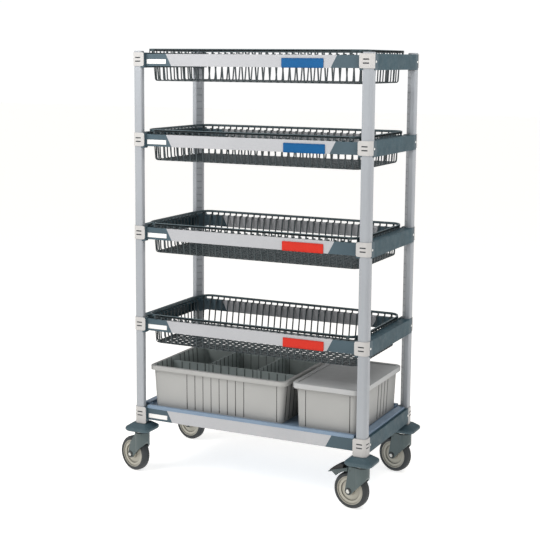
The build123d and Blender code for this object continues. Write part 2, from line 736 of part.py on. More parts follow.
# Dividers that stand on the open tote's floor: one along it and two across behind that one
divider_bottom = tote_bottom + tote_floor + loose_gap
divider_top = tote_top - divider_drop
wall_lean_y = (tote_wall_half_y - tote_base_half_y) / (tote_height - tote_floor)
open_wall_x = (open_rim_x[0] + tote_rim_overhang, open_rim_x[1] - tote_rim_overhang)
inset = tote_wall + divider_end_gap
divider_height = divider_top - divider_bottom
height_share = divider_height / (tote_height - tote_floor)
left_lean = (open_base_x[0] - open_wall_x[0]) * height_share
right_lean = (open_wall_x[1] - open_base_x[1]) * height_share
rib_columns = open_side_grooves[:-1]
with BuildPart() as tote_dividers:
    with BuildSketch(Plane(origin=(0, long_divider_y, 0), x_dir=(1, 0, 0), z_dir=(0, -1, 0))):
        with BuildLine():
            Polyline((open_base_x[0] + inset, divider_bottom), (open_base_x[1] - inset, divider_bottom),
                     (open_base_x[1] - inset + right_lean, divider_top),
                     (open_base_x[0] + inset - left_lean, divider_top), close=True)
        make_face()
    extrude(amount=divider_thickness / 2, both=True)
    rib_middle_z = (divider_bottom + divider_top) / 2
    with BuildSketch(Plane(origin=(0, long_divider_y, 0), x_dir=(1, 0, 0), z_dir=(0, -1, 0))):
        with Locations(*[(x, rib_middle_z) for x in rib_columns]):
            Rectangle(divider_rib_width, divider_height)
    extrude(amount=divider_thickness / 2 + divider_rib, both=True)
    start_y = long_divider_y + divider_thickness / 2
    end_y = tote_base_half_y - inset
    lean_y = (tote_wall_half_y - tote_base_half_y) * height_share
    for x in cross_divider_x:
        with BuildSketch(Plane.YZ.offset(x)):
            with BuildLine():
                Polyline((start_y, divider_bottom), (end_y, divider_bottom), (end_y + lean_y, divider_top),
                         (start_y, divider_top), close=True)
            make_face()
        extrude(amount=divider_thickness / 2, both=True)
        rib_count = int((end_y - start_y) // groove_pitch)
        with BuildSketch(Plane.YZ.offset(x)):
            with Locations(*[(start_y + groove_pitch * (k + 1 / 2), rib_middle_z) for k in range(rib_count)]):
                Rectangle(divider_rib_width, divider_height)
        extrude(amount=divider_thickness / 2 + divider_rib, both=True)
save(tote_dividers.part, "tote_dividers")

# Lid of the second tote
lid_plate_bottom = tote_top + loose_gap
lid_top = lid_plate_bottom + lid_top_height
lid_x = (lid_box_rim_x[0] - lid_overhang, lid_box_rim_x[1] + lid_overhang)
lid_half_y = tote_rim_half_y + lid_overhang
lid_corner = tote_rim_corner + lid_overhang
with BuildPart() as tote_lid:
    add(prism(rounded(lid_x, lid_half_y, 0, lid_corner), tote_top - lid_skirt, lid_top))
    fillet(tote_lid.edges().group_by(Axis.Z)[-1], radius=lid_edge_radius)
    add(prism(rounded(lid_x, lid_half_y, lid_skirt_wall, lid_corner), tote_top - lid_skirt, lid_plate_bottom),
        mode=Mode.SUBTRACT)
    add(prism(rounded(lid_x, lid_half_y, lid_recess_margin, lid_corner), lid_top - lid_recess_depth, lid_top),
        mode=Mode.SUBTRACT)
save(tote_lid.part, "tote_lid")

# Bumpers: rounded squares with a sloping top
bumpers = []
for name, (sx, sy) in corners.items():
    sections = []
    for half_side, radius, z in bumper_outlines:
        with BuildSketch() as outline:
            with Locations((sx * half_x, sy * half_y)):
                RectangleRounded(2 * half_side, 2 * half_side, radius)
        sections.append((z, outline.sketch))
    with BuildPart() as bumper:
        add(drafted(sections))
        add(prism(post_face(name, grow=seat_gap), sections[0][0], sections[-1][0]), mode=Mode.SUBTRACT)
    bumpers.append(bumper.part)
save(joined(bumpers), "bumpers")

# Caster stems: an insert inside the post, a flange under it and a kingpin with a head
plate_bottom = fork_top - fork_plate
head_top = plate_bottom - loose_gap
stems = []
races = []
for name, (sx, sy) in corners.items():
    insert = prism(post_face(name, grow=-post_wall - seat_gap), post_bottom, stem_insert_top)
    with BuildPart() as stem:
        with BuildSketch(Plane.XY.offset(flange_bottom)):
            with Locations((sx * half_x, sy * half_y)):
                Circle(flange_radius)
        extrude(amount=post_bottom - flange_bottom)
        add(insert)
        with BuildSketch(Plane.XY.offset(head_top)):
            with Locations((sx * half_x, sy * half_y)):
                Circle(kingpin_radius)
        extrude(amount=flange_bottom - head_top)
        with BuildSketch(Plane.XY.offset(head_top - kingpin_head_height)):
            with Locations((sx * half_x, sy * half_y)):
                Circle(kingpin_head_radius)
        extrude(amount=kingpin_head_height)
        chamfer(stem.edges().group_by(Axis.Z)[0], length=kingpin_edge)
    stems.append(stem.part)
    with BuildPart() as race:
        with BuildSketch(Plane.XY.offset(race_bottom)):
            with Locations((sx * half_x, sy * half_y)):
                Circle(race_radius)
                Circle(kingpin_radius + pin_clearance, mode=Mode.SUBTRACT)
        extrude(amount=flange_bottom - race_bottom)
    races.append(race.part)
save(joined(stems), "caster_stems")
save(joined(races), "swivel_races")

# Forks, in the caster's own frame
pedal_hole = pedal_pin_radius + pin_clearance


def make_fork(has_pedal):
    """A pressed fork: a round head with a top plate and a front wall, and two legs that carry the axle.

    Without a pedal the legs slope back from under the head; with one they reach up to carry its pin.
    """
    rear_edge = ((fork_trail_edge, fork_top),) if has_pedal else (fork_shoulder, (fork_neck_x, fork_top))
    with BuildPart() as fork:
        with BuildSketch():
            Circle(fork_head_radius)
            with Locations((caster_trail, 0)):
                Rectangle(2 * caster_trail, 2 * fork_half_width)
        extrude(amount=fork_top)
        with BuildSketch(Plane.XZ):
            with BuildLine():
                Polyline((-fork_head_radius, fork_top), (-fork_head_radius, fork_head_bottom),
                         (fork_knee_x, fork_knee_z), (caster_trail, wheel_radius), *rear_edge, close=True)
            make_face()
            with Locations((caster_trail, wheel_radius)):
                Circle(axle_boss_radius)
            make_hull()
        extrude(amount=fork_head_radius, both=True, mode=Mode.INTERSECT)
        with BuildSketch(Plane.XY.offset(plate_bottom)):
            Circle(fork_head_radius)
        extrude(amount=fork_plate)
        inner_half = fork_half_width - fork_leg
        with BuildSketch():
            Circle(fork_head_radius - fork_leg)
            Rectangle(2 * fork_head_radius, 2 * inner_half, mode=Mode.INTERSECT)
            with Locations((caster_trail, 0)):
                Rectangle(2 * caster_trail, 2 * inner_half)
        extrude(amount=plate_bottom, mode=Mode.SUBTRACT)
        with BuildSketch(Plane.XY.offset(plate_bottom)):
            with Locations((fork_head_radius + caster_trail / 2, 0)):
                Rectangle(caster_trail, 2 * inner_half)
        extrude(amount=fork_plate, mode=Mode.SUBTRACT)
        with BuildSketch(Plane.XY.offset(plate_bottom)):
            Circle(kingpin_radius + pin_clearance)
        extrude(amount=fork_plate, mode=Mode.SUBTRACT)
        with BuildSketch(Plane.XZ):
            with Locations((caster_trail, wheel_radius)):
                Circle(axle_radius + pin_clearance)
            if has_pedal:
                with Locations((pedal_pivot_x, pedal_pivot_z)):
                    Circle(pedal_hole)
        extrude(amount=fork_half_width, both=True, mode=Mode.SUBTRACT)
    return fork.part


def ring(points, radii):
    """A solid turned about the wheel's axle, from points given along the axle and out from it."""
    with BuildPart() as turned:
        with BuildSketch(Plane(origin=(caster_trail, 0, wheel_radius), x_dir=(0, 1, 0), z_dir=(1, 0, 0))):
            with BuildLine():
                FilletPolyline(*points, radius=radii, close=True)
            make_face()
        revolve(axis=Axis((caster_trail, 0, wheel_radius), (0, 1, 0)))
    return turned.part


def both_sides(points):
    """Adds the mirror image of a half profile."""
    return list(points) + [(-n, r) for n, r in points[::-1]]


plain_fork = make_fork(False)
brake_fork = make_fork(True)

half_width = wheel_width / 2
shoulder = (half_width, wheel_radius - tread_drop)
tyre = ring(both_sides([(half_width, tyre_inner_radius), shoulder, (tread_half_flat, wheel_radius)]),
            [0, tyre_shoulder_radius, tread_radius, tread_radius, tyre_shoulder_radius, 0])
rim_n = half_width - hub_rim_recess
step_n = half_width - hub_step_recess
web_n = half_width - hub_web_recess
bore = axle_radius + pin_clearance
hub_half_profile = [(hub_boss_width / 2, bore), (hub_boss_width / 2, hub_boss_radius),
                    (web_n, hub_boss_radius), (web_n, hub_step_radius), (step_n, hub_step_radius),
                    (step_n, hub_rim_radius), (rim_n, hub_rim_radius), (rim_n, tyre_inner_radius)]
hub_profile = both_sides(hub_half_profile)
hub = ring(hub_profile, [0] * len(hub_profile))

with BuildPart() as axle_bolt:
    with BuildSketch(Plane(origin=(caster_trail, 0, wheel_radius), x_dir=(1, 0, 0), z_dir=(0, 1, 0))):
        Circle(axle_radius)
    extrude(amount=fork_half_width, both=True)
    for side in (-1, 1):
        with BuildSketch(Plane(origin=(caster_trail, side * fork_half_width, wheel_radius), x_dir=(1, 0, 0),
                               z_dir=(0, side, 0))):
            RegularPolygon(radius=axle_head_radius, side_count=6)
        extrude(amount=axle_head_height)
        outer_face = axle_bolt.faces().sort_by(Axis((0, 0, 0), (0, side, 0)))[-1]
        chamfer(outer_face.edges(), length=axle_head_chamfer)


def slab(points, half_width):
    """An upright profile given an equal thickness on both sides of the plane of travel."""
    with BuildPart() as block:
        with BuildSketch(Plane.XZ):
            with BuildLine():
                Polyline(*points, close=True)
            make_face()
        extrude(amount=half_width, both=True)
    return block.part


# Brake pedals: a pressed shell with a neck between the fork's legs, a pin and a brake shoe
with BuildPart() as pedal:
    add(slab(pedal_profile, pedal_half_width))
    add(slab(pedal_hollow, pedal_half_width - pedal_sheet), mode=Mode.SUBTRACT)
    add(slab(shoe_profile, shoe_half_width))
    with BuildSketch(Plane.XZ):
        with BuildLine():
            Polyline(*pedal_neck_end, (pedal_pivot_x, pedal_pivot_z), close=True)
        make_face()
        with Locations((pedal_pivot_x, pedal_pivot_z)):
            Circle(pedal_boss_radius)
        make_hull()
    extrude(amount=pedal_neck_half_width, both=True)
    with BuildSketch(Plane.XZ):
        with Locations((pedal_pivot_x, pedal_pivot_z)):
            Circle(pedal_pin_radius)
    extrude(amount=fork_half_width - pedal_pin_end_gap, both=True)
with BuildPart() as pad:
    add(slab(pad_profile, pad_half_width))
    fillet(pad.edges().filter_by(Axis.Y).sort_by(Axis.Z)[-1], radius=pad_corner_radius)

# Casters, each turned to its own heading
for name, (sx, sy) in corners.items():
    heading = Location((sx * half_x, sy * half_y, 0), (0, 0, 180 - caster_headings[name]))
    has_pedal = name in brake_corners
    save((brake_fork if has_pedal else plain_fork).moved(heading), f"fork_{name}")
    save(axle_bolt.part.moved(heading), f"axle_{name}")
    save(hub.moved(heading), f"hub_{name}")
    save(tyre.moved(heading), f"tyre_{name}")
    if has_pedal:
        save(pedal.part.moved(heading), f"brake_pedal_{name}")
        save(pad.part.moved(heading), f"brake_pad_{name}")
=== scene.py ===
import math

import bmesh
import bpy
from mathutils import Matrix, Vector


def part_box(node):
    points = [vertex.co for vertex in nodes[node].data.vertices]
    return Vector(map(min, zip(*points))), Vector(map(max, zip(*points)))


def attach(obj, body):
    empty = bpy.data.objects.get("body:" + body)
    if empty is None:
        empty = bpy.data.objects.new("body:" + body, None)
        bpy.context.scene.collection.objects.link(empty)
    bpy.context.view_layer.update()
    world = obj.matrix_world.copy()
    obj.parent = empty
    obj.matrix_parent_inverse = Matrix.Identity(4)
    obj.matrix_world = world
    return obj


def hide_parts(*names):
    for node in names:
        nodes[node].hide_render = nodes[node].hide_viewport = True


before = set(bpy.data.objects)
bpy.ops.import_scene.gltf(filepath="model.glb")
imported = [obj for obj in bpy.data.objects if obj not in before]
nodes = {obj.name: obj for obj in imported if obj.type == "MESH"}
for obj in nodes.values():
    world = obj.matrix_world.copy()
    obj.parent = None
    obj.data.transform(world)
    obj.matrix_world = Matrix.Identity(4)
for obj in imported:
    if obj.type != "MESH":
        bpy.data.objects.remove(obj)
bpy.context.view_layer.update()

# Sizes are in millimetres unless a comment says metres. MM turns them into the frame's metres.
# The places and sizes of the lights and the camera are in metres.
MM = 0.001
WHITE = (1.0, 1.0, 1.0, 1.0)
CORNERS = {"front_left": (-1, -1), "front_right": (1, -1), "rear_left": (-1, 1), "rear_right": (1, 1)}
POST_X, POST_Y = 428.8, 211.3
POST_FACE = 12.7                      # from a post's middle to its flat inward face
SHELF_TOPS = (1513.8, 1234.4, 904.2, 574.0, 243.8)
# The degrees by which each caster is turned from trailing along -X.
HEADINGS = {"front_left": 15.7, "front_right": 8.4, "rear_left": 10.0, "rear_right": 13.4}
# Textures work in metres: the usual grain's scale and depth, and the radius that edges look rounded by.
GRAIN, GRAIN_DEPTH, SOFT_EDGE = 900.0, 0.00005, 0.0009


# ---------------------------------------------------------------- materials

def srgb(red, green, blue):
    """A display colour, 0 to 255, as the shader's linear colour."""
    def linear(c):
        c /= 255
        return c / 12.92 if c <= 0.04045 else ((c + 0.055) / 1.055) ** 2.4
    return linear(red), linear(green), linear(blue), 1.0


def scaled(colour, factor):
    """The same colour, darker or lighter."""
    return tuple(min(1.0, c * factor) for c in colour[:3]) + (1.0,)


class Finish:
    """One procedural material and the short calls that add its nodes."""

    def __init__(self, name):
        self.material = bpy.data.materials.new(name)
        self.material.use_nodes = True
        self.tree = self.material.node_tree
        self.shader = next(n for n in self.tree.nodes if n.type == "BSDF_PRINCIPLED")
        coordinates = self.node("ShaderNodeTexCoord")
        self.place = coordinates.outputs["Object"]
        self.facing = coordinates.outputs["Normal"]

    def node(self, kind, inputs=None, **settings):
        """A new node, with its settings and with its inputs joined or set."""
        made = self.tree.nodes.new(kind)
        for key, value in settings.items():
            setattr(made, key, value)
        for key, value in (inputs or {}).items():
            self.put(made.inputs[key], value)
        return made

    def put(self, socket, value):
        """Joins a node's output to the socket, or sets a constant on it."""
        if isinstance(value, bpy.types.NodeSocket):
            self.tree.links.new(value, socket)
        else:
            socket.default_value = value

    def noise(self, scale, detail=2.0, stretch=None):
        """A noise texture's value over the piece."""
        where = self.place
        if stretch:
            where = self.node("ShaderNodeMapping", {"Vector": where, "Scale": stretch}).outputs["Vector"]
        made = self.node("ShaderNodeTexNoise", {"Vector": where, "Scale": scale, "Detail": detail,
                                                "Roughness": 0.5})
        return made.outputs[0]

    def ramp(self, value, low, high, to_low=0.0, to_high=1.0):
        """The value mapped in a straight line from one range to another, and clamped."""
        made = self.node("ShaderNodeMapRange", {"Value": value, "From Min": low, "From Max": high,
                                                "To Min": to_low, "To Max": to_high})
        return made.outputs["Result"]

    def maths(self, operation, a, b=0.0):
        """A sum or other operation on one or two values."""
        return self.node("ShaderNodeMath", {0: a, 1: b}, operation=operation).outputs[0]

    def mix(self, share, a, b):
        """Colour a at share 0 and colour b at share 1."""
        made = self.node("ShaderNodeMix", data_type="RGBA")
        for index, value in ((0, share), (6, a), (7, b)):
            self.put(made.inputs[index], value)
        return made.outputs[2]

    def mottled(self, base, low, scale=5.0, detail=4.0):
        """The base colour with soft patches a little darker."""
        return self.mix(self.ramp(self.noise(scale, detail), 0.35, 0.65), scaled(base, low), base)

    def colour(self, value):
        """Sets the shader's base colour."""
        self.put(self.shader.inputs["Base Color"], value)

    def roughness(self, low, high, scale=40.0):
        """Sets a roughness that varies between two values."""
        self.put(self.shader.inputs["Roughness"], self.ramp(self.noise(scale, 3.0), 0.3, 0.7, low, high))

    def relief(self, height, distance, round_off=0.0):
        """Sets a fine bump over edges that look rounded by this radius."""
        inputs = {"Height": height, "Distance": distance, "Strength": 1.0}
        if round_off:
            inputs["Normal"] = self.node("ShaderNodeBevel", {"Radius": round_off}, samples=4).outputs[0]
        self.put(self.shader.inputs["Normal"], self.node("ShaderNodeBump", inputs).outputs[0])

    def edges(self, radius):
        """1 on outer and inner edges and 0 on flats."""
        soft = self.node("ShaderNodeBevel", {"Radius": radius}, samples=4).outputs[0]
        flat = self.node("ShaderNodeNewGeometry").outputs["Normal"]
        dot = self.node("ShaderNodeVectorMath", {0: soft, 1: flat}, operation="DOT_PRODUCT")
        return self.ramp(dot.outputs["Value"], 0.995, 0.86)

    def painted_crevice_shade(self, distance, darkest, closed=0.25, clear=0.85):
        """A painted shade factor that falls to darkest in narrow grooves and joints, where ambient occlusion
        is low.
        """
        made = self.node("ShaderNodeAmbientOcclusion", {"Distance": distance}, samples=8)
        return self.ramp(made.outputs["AO"], closed, clear, darkest, 1.0)

    def axis(self, vector, letter):
        """One component of a vector."""
        return self.node("ShaderNodeSeparateXYZ", {0: vector}).outputs[letter]

    def above(self, value, limit):
        """1 where the value is above the limit, 0 below it."""
        softness = 0.0002
        return self.ramp(value, limit - softness, limit + softness)

    def both(self, a, b):
        """The product of two values: 1 where both are."""
        return self.maths("MULTIPLY", a, b)

    def band(self, value, centre, half_width):
        """1 within a distance of a place, 0 elsewhere."""
        made = self.node("ShaderNodeMath", {0: value, 1: centre, 2: half_width}, operation="COMPARE")
        return made.outputs[0]

    def bands(self, value, centres, half_width):
        """1 within a distance of any of the places."""
        total = self.band(value, centres[0], half_width)
        for centre in centres[1:]:
            total = self.maths("ADD", total, self.band(value, centre, half_width))
        return total

    def shade(self, colour, factor):
        """The colour times a factor from a texture."""
        return self.node("ShaderNodeVectorMath", {0: colour, "Scale": factor},
                         operation="SCALE").outputs["Vector"]


def moulded(name, base, low=0.93, mottle=9.0, rough=(0.42, 0.55), grain=GRAIN, depth=GRAIN_DEPTH,
            speckle=None, speckle_scale=420.0, crevice_shade=None, rim_light=0.0, round_off=SOFT_EDGE,
            metallic=0.0, gloss=0.5):
    """Painted metal or moulded plastic: mottled colour, grain, softened edges and painted shade in crevices.

    speckle is a colour and its share, crevice_shade the reach and depth of the painted shade in grooves, and
    rim_light the share of paler colour on the edges, a painted highlight.
    """
    f = Finish(name)
    colour = f.mottled(base, low, mottle)
    if speckle:
        spots = f.ramp(f.noise(speckle_scale, 1.0), 0.52, 0.72, 0.0, speckle[1])
        colour = f.mix(spots, colour, speckle[0])
    if rim_light:
        # Painted highlight: a paler colour on the edges, patchy along them.
        edge_highlight = f.both(f.edges(0.0012), f.ramp(f.noise(60.0), 0.3, 0.6, 0.3, rim_light))
        colour = f.mix(edge_highlight, colour, scaled(base, 1.9))
    # Painted shade in grooves and joints.
    if crevice_shade:
        colour = f.shade(colour, f.painted_crevice_shade(*crevice_shade))
    f.colour(colour)
    f.roughness(*rough)
    f.relief(f.noise(grain), depth, round_off)
    f.shader.inputs["Metallic"].default_value = metallic
    f.shader.inputs["Specular IOR Level"].default_value = gloss
    return f.material


def post_finish(name, base):
    """Grey extrusion with painted shade inside the notches of its inward face, which looks at the cart's
    middle.
    """
    f = Finish(name)
    colour = f.mottled(base, 0.95)
    x, y = f.axis(f.place, "X"), f.axis(f.place, "Y")
    spread = f.maths("ADD", f.maths("ABSOLUTE", x), f.maths("ABSOLUTE", y))
    inward = f.maths("ADD", f.both(f.maths("SIGN", x), f.axis(f.facing, "X")),
                     f.both(f.maths("SIGN", y), f.axis(f.facing, "Y")))
    slanted = f.ramp(inward, -1.25, -1.38)
    face = (POST_X + POST_Y) * MM - POST_FACE * math.sqrt(2) * MM
    # Painted shade: the notches in the slanted inward face are darkened.
    notch_shade = f.both(slanted, f.above(spread, face + 0.4 * MM))
    f.colour(f.mix(notch_shade, colour, scaled(base, 0.7)))
    f.roughness(0.34, 0.44)
    f.relief(f.noise(700.0, 2.0, (1.0, 1.0, 0.02)), 0.00003, SOFT_EDGE)
    f.shader.inputs["Metallic"].default_value = 0.15
    return f.material


# Heights in the totes, in metres: where painted shade darkens the inside, its floor, and the middle and
# half height of the painted shade lines at the grooves. The half widths of these lines are in millimetres.
TOTE_SHADE_FROM, TOTE_SHADE_TO = 0.26, 0.40
TOTE_FLOOR_LOW, TOTE_FLOOR_HIGH = 0.29, 0.30
GROOVE_MIDDLE, GROOVE_HALF_HEIGHT = 0.3165, 0.0635
SIDE_GROOVE_SHADE_HALF, END_GROOVE_SHADE_HALF = 1.6, 4.2


def tote_finish(name, base, inside, centre_x, side_grooves, end_grooves):
    """Moulded box: pale outside with painted shade lines in its grooves, a separate inside colour with
    painted shade darkening it towards its floor.
    """
    f = Finish(name)
    colour = f.mottled(base, 0.95)
    # Painted shade in the grooves and under the rim.
    colour = f.shade(colour, f.painted_crevice_shade(0.006, 0.4, 0.5, 0.9))
    x = f.maths("SUBTRACT", f.axis(f.place, "X"), centre_x)
    y, z = f.axis(f.place, "Y"), f.axis(f.place, "Z")
    side_x = f.both(f.maths("SIGN", x), f.axis(f.facing, "X"))
    side_y = f.both(f.maths("SIGN", y), f.axis(f.facing, "Y"))
    inner_sides, inner_ends = f.ramp(side_y, -0.4, -0.6), f.ramp(side_x, -0.4, -0.6)
    outer_sides, outer_ends = f.ramp(side_y, 0.5, 0.7), f.ramp(side_x, 0.5, 0.7)
    inner_walls = f.maths("MAXIMUM", inner_ends, inner_sides)
    inner_floor = f.both(f.above(f.axis(f.facing, "Z"), 0.5), f.ramp(z, TOTE_FLOOR_HIGH, TOTE_FLOOR_LOW))
    # Painted shade: dark lines on the outer walls at the grooves, wider than the grooves on the ends.
    in_sides = f.bands(f.axis(f.place, "X"), [c * MM for c in side_grooves], SIDE_GROOVE_SHADE_HALF * MM)
    in_ends = f.bands(y, [c * MM for c in end_grooves], END_GROOVE_SHADE_HALF * MM)
    groove_shade = f.maths("MAXIMUM", f.both(outer_sides, in_sides), f.both(outer_ends, in_ends))
    groove_shade = f.both(groove_shade, f.band(z, GROOVE_MIDDLE, GROOVE_HALF_HEIGHT))
    colour = f.mix(groove_shade, colour, scaled(base, 0.26))
    # Painted shade: the inside darkens towards its floor and has dark lines at the grooves.
    inner_groove_shade = f.maths("MAXIMUM", f.both(inner_sides, in_sides), f.both(inner_ends, in_ends))
    inside_shaded = f.mix(f.ramp(z, TOTE_SHADE_FROM, TOTE_SHADE_TO), scaled(inside, 0.8), inside)
    inside_shaded = f.mix(inner_groove_shade, inside_shaded, scaled(inside, 0.35))
    f.colour(f.mix(f.maths("MAXIMUM", inner_walls, inner_floor), colour, inside_shaded))
    f.roughness(0.42, 0.56)
    f.relief(f.noise(GRAIN), GRAIN_DEPTH, SOFT_EDGE)
    return f.material


LONG_DIVIDER_Y = -55.0
CROSS_DIVIDERS_X = (-236.05, -41.05)
DIVIDER_HALF, RIB_REACH = 1.58, 3.3   # from a divider's middle plane to its face and past its ribs


def divider_finish(name, base):
    """Moulded dividers with painted shade on their ribs and in their crevices."""
    f = Finish(name)
    colour = f.mottled(base, 0.93, 6.0)
    x, y = f.axis(f.place, "X"), f.axis(f.place, "Y")
    # Painted shade: the ribs that stand off each divider's faces are darkened.
    ribs = None
    for value, middle in ((y, LONG_DIVIDER_Y), (x, CROSS_DIVIDERS_X[0]), (x, CROSS_DIVIDERS_X[1])):
        panel = f.band(value, middle * MM, DIVIDER_HALF * MM)
        side = f.both(f.band(value, middle * MM, RIB_REACH * MM), f.maths("SUBTRACT", 1.0, panel))
        ribs = side if ribs is None else f.maths("MAXIMUM", ribs, side)
    f.colour(f.mix(ribs, f.shade(colour, f.painted_crevice_shade(0.006, 0.45, 0.45, 0.9)), scaled(base, 0.35)))
    f.roughness(0.45, 0.6)
    f.relief(f.noise(GRAIN), GRAIN_DEPTH, 0.0006)
    return f.material


def turned_metal(name, base, rough):
    """Plated steel with fine machining marks."""
    f = Finish(name)
    f.colour(f.mottled(base, 0.82, 30.0, 3.0))
    f.roughness(rough - 0.06, rough + 0.08, 120.0)
    f.relief(f.noise(1600.0, 1.0), 0.00002, 0.0006)
    f.shader.inputs["Metallic"].default_value = 1.0
    return f.material


# The X places of the grooves in the totes' long sides and the Y places of those in their ends.
GROOVE_PITCH = 32.5
FIRST_GROOVE = -252.3
OPEN_SIDE_GROOVES = tuple(FIRST_GROOVE + GROOVE_PITCH * k for k in range(8)) + (102.8,)
OPEN_END_GROOVES = tuple(GROOVE_PITCH * k for k in (-5, -4, -3, -2, 0, 1, 2, 3, 4))
LIDDED_SIDE_GROOVES = (212.0, 374.7)
LIDDED_END_GROOVES = tuple(3.6 + 30.4 * k for k in range(4))

# Every finish by its name. A new piece takes the finish that it is given, unless its mesh has one already.
# crevice_shade paints shade into grooves and joints, and rim_light paints a highlight on edges.
FINISHES = {
    "post_grey": post_finish("post_grey", srgb(158, 162, 167)),
    "collar_white": moulded("collar_white", srgb(186, 184, 182), low=0.93, crevice_shade=(0.004, 0.45)),
    "casting_slate": moulded("casting_slate", srgb(68, 86, 95), low=0.88, rim_light=0.5, gloss=0.3),
    "wedge_dark": moulded("wedge_dark", srgb(58, 62, 66)),
    "rail_grey": moulded("rail_grey", srgb(172, 173, 176), low=0.95, mottle=7.0, rough=(0.42, 0.58),
                         grain=1100.0, depth=0.00004, speckle=(srgb(132, 134, 140), 0.3), speckle_scale=520.0,
                         crevice_shade=(0.01, 0.75)),
    "end_rail_slate": moulded("end_rail_slate", srgb(40, 68, 78), low=0.84, rim_light=1.0, mottle=14.0,
                              speckle=(srgb(74, 100, 108), 0.35), speckle_scale=260.0, gloss=0.25),
    "screw_steel": turned_metal("screw_steel", srgb(244, 244, 240), 0.45),
    "badge_white": moulded("badge_white", srgb(232, 231, 229), low=0.97, rough=(0.3, 0.4)),
    "label_blue": moulded("label_blue", srgb(0, 82, 134), low=0.93, rough=(0.4, 0.5), grain=1200.0,
                          speckle=(srgb(20, 100, 168), 0.35), gloss=0.2),
    "label_red": moulded("label_red", srgb(196, 42, 28), low=0.93, rough=(0.4, 0.5), grain=1200.0,
                         speckle=(srgb(226, 74, 50), 0.35), gloss=0.2),
    "basket_charcoal": moulded("basket_charcoal", srgb(46, 58, 62), low=0.85, rough=(0.38, 0.52),
                               round_off=0.0),
    # Painted highlight: the rim is the basket's own plastic in a paler copy of its charcoal.
    "basket_rim": moulded("basket_rim", srgb(66, 84, 90), low=0.88, rough=(0.34, 0.46), round_off=0.0),
    "tray_blue": moulded("tray_blue", srgb(116, 136, 157), low=0.93, mottle=6.0, rough=(0.34, 0.46),
                         rim_light=1.0),
    "bumper_slate": moulded("bumper_slate", srgb(58, 79, 87), low=0.88, rough=(0.5, 0.65), round_off=0.003,
                            speckle=(srgb(84, 104, 112), 0.3), speckle_scale=300.0),
    "fork_grey": moulded("fork_grey", srgb(80, 92, 93), low=0.9, rough=(0.36, 0.48), grain=400.0,
                         depth=0.00008, metallic=0.35, rim_light=0.4, crevice_shade=(0.012, 0.4)),
    "axle_steel": turned_metal("axle_steel", srgb(200, 200, 196), 0.34),
    "washer_dark": moulded("washer_dark", srgb(48, 54, 54), low=0.86),
    "hub_beige": moulded("hub_beige", srgb(172, 169, 157), low=0.93, rough=(0.45, 0.6),
                         crevice_shade=(0.006, 0.35, 0.4, 0.95)),
    "tyre_dark": moulded("tyre_dark", srgb(44, 48, 50), low=0.86, rough=(0.55, 0.75), grain=500.0,
                         depth=0.0001),
    "pedal_grey": moulded("pedal_grey", srgb(72, 82, 83), low=0.9, rough=(0.36, 0.48), metallic=0.35),
    "pad_black": moulded("pad_black", srgb(20, 21, 23), low=0.8, rough=(0.5, 0.7)),
    "tote_grey": tote_finish("tote_grey", srgb(163, 163, 161), srgb(178, 186, 184), 0.2895,
                             LIDDED_SIDE_GROOVES, LIDDED_END_GROOVES),
    "tote_open": tote_finish("tote_open", srgb(163, 163, 161), srgb(178, 186, 184), -0.1315,
                             OPEN_SIDE_GROOVES, OPEN_END_GROOVES),
    "divider_grey": divider_finish("divider_grey", srgb(174, 184, 183)),
    "lid_grey": moulded("lid_grey", srgb(174, 175, 175), low=0.95, mottle=5.0, rough=(0.4, 0.52),
                        crevice_shade=(0.004, 0.5)),
    # Painted shade for the inside of the collars' slots.
    "slot_shade_black": moulded("slot_shade_black", srgb(30, 36, 42), low=0.85),
}
# The first start that fits a node's name gives its finish.
FINISH_OF_NODE = (
    ("post_collars", "collar_white"), ("post_wedges", "wedge_dark"),
    ("post_", "post_grey"), ("corner_castings", "casting_slate"), ("rail_end_caps", "casting_slate"),
    ("rail_screws", "screw_steel"), ("caster_stems", "screw_steel"), ("swivel_races", "washer_dark"),
    ("badge_plates", "badge_white"), ("label_holders_blue", "label_blue"),
    ("label_holders_red", "label_red"), ("basket_", "basket_charcoal"), ("bottom_tray", "tray_blue"),
    ("bumpers", "bumper_slate"), ("fork_", "fork_grey"), ("axle_", "axle_steel"), ("hub_", "hub_beige"),
    ("tyre_", "tyre_dark"), ("brake_pedal_", "pedal_grey"), ("brake_pad_", "pad_black"),
    ("open_tote", "tote_open"), ("lidded_tote", "tote_grey"), ("tote_dividers", "divider_grey"),
    ("tote_lid", "lid_grey"))


def finish_of(name):
    """The finish of a CAD node, by the start of its name."""
    if name.endswith("_end_rails"):
        return "end_rail_slate"
    if name.startswith("shelf_"):
        return "rail_grey"
    return next(finish for start, finish in FINISH_OF_NODE if name.startswith(start))


for node_name, node in nodes.items():
    for material_slot in node.material_slots:
        material_slot.material = FINISHES[finish_of(node_name)]


# ---------------------------------------------------------------- mesh helpers

def new_piece(name, mesh, body, finish, place=None):
    """Links a mesh as a piece that rides on a body."""
    piece = bpy.data.objects.new(name, mesh)
    bpy.context.scene.collection.objects.link(piece)
    if place is not None:
        piece.matrix_world = place
    if not mesh.materials:
        mesh.materials.append(FINISHES[finish])
    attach(piece, body)
    return piece


def to_mesh(bm, name, smooth=True):
    """Turns a bmesh, drawn in millimetres, into a mesh in metres."""
    bmesh.ops.recalc_face_normals(bm, faces=bm.faces)
    bmesh.ops.scale(bm, vec=(MM, MM, MM), verts=bm.verts)
    mesh = bpy.data.meshes.new(name)
    bm.to_mesh(mesh)
    bm.free()
    for polygon in mesh.polygons:
        polygon.use_smooth = smooth
    return mesh


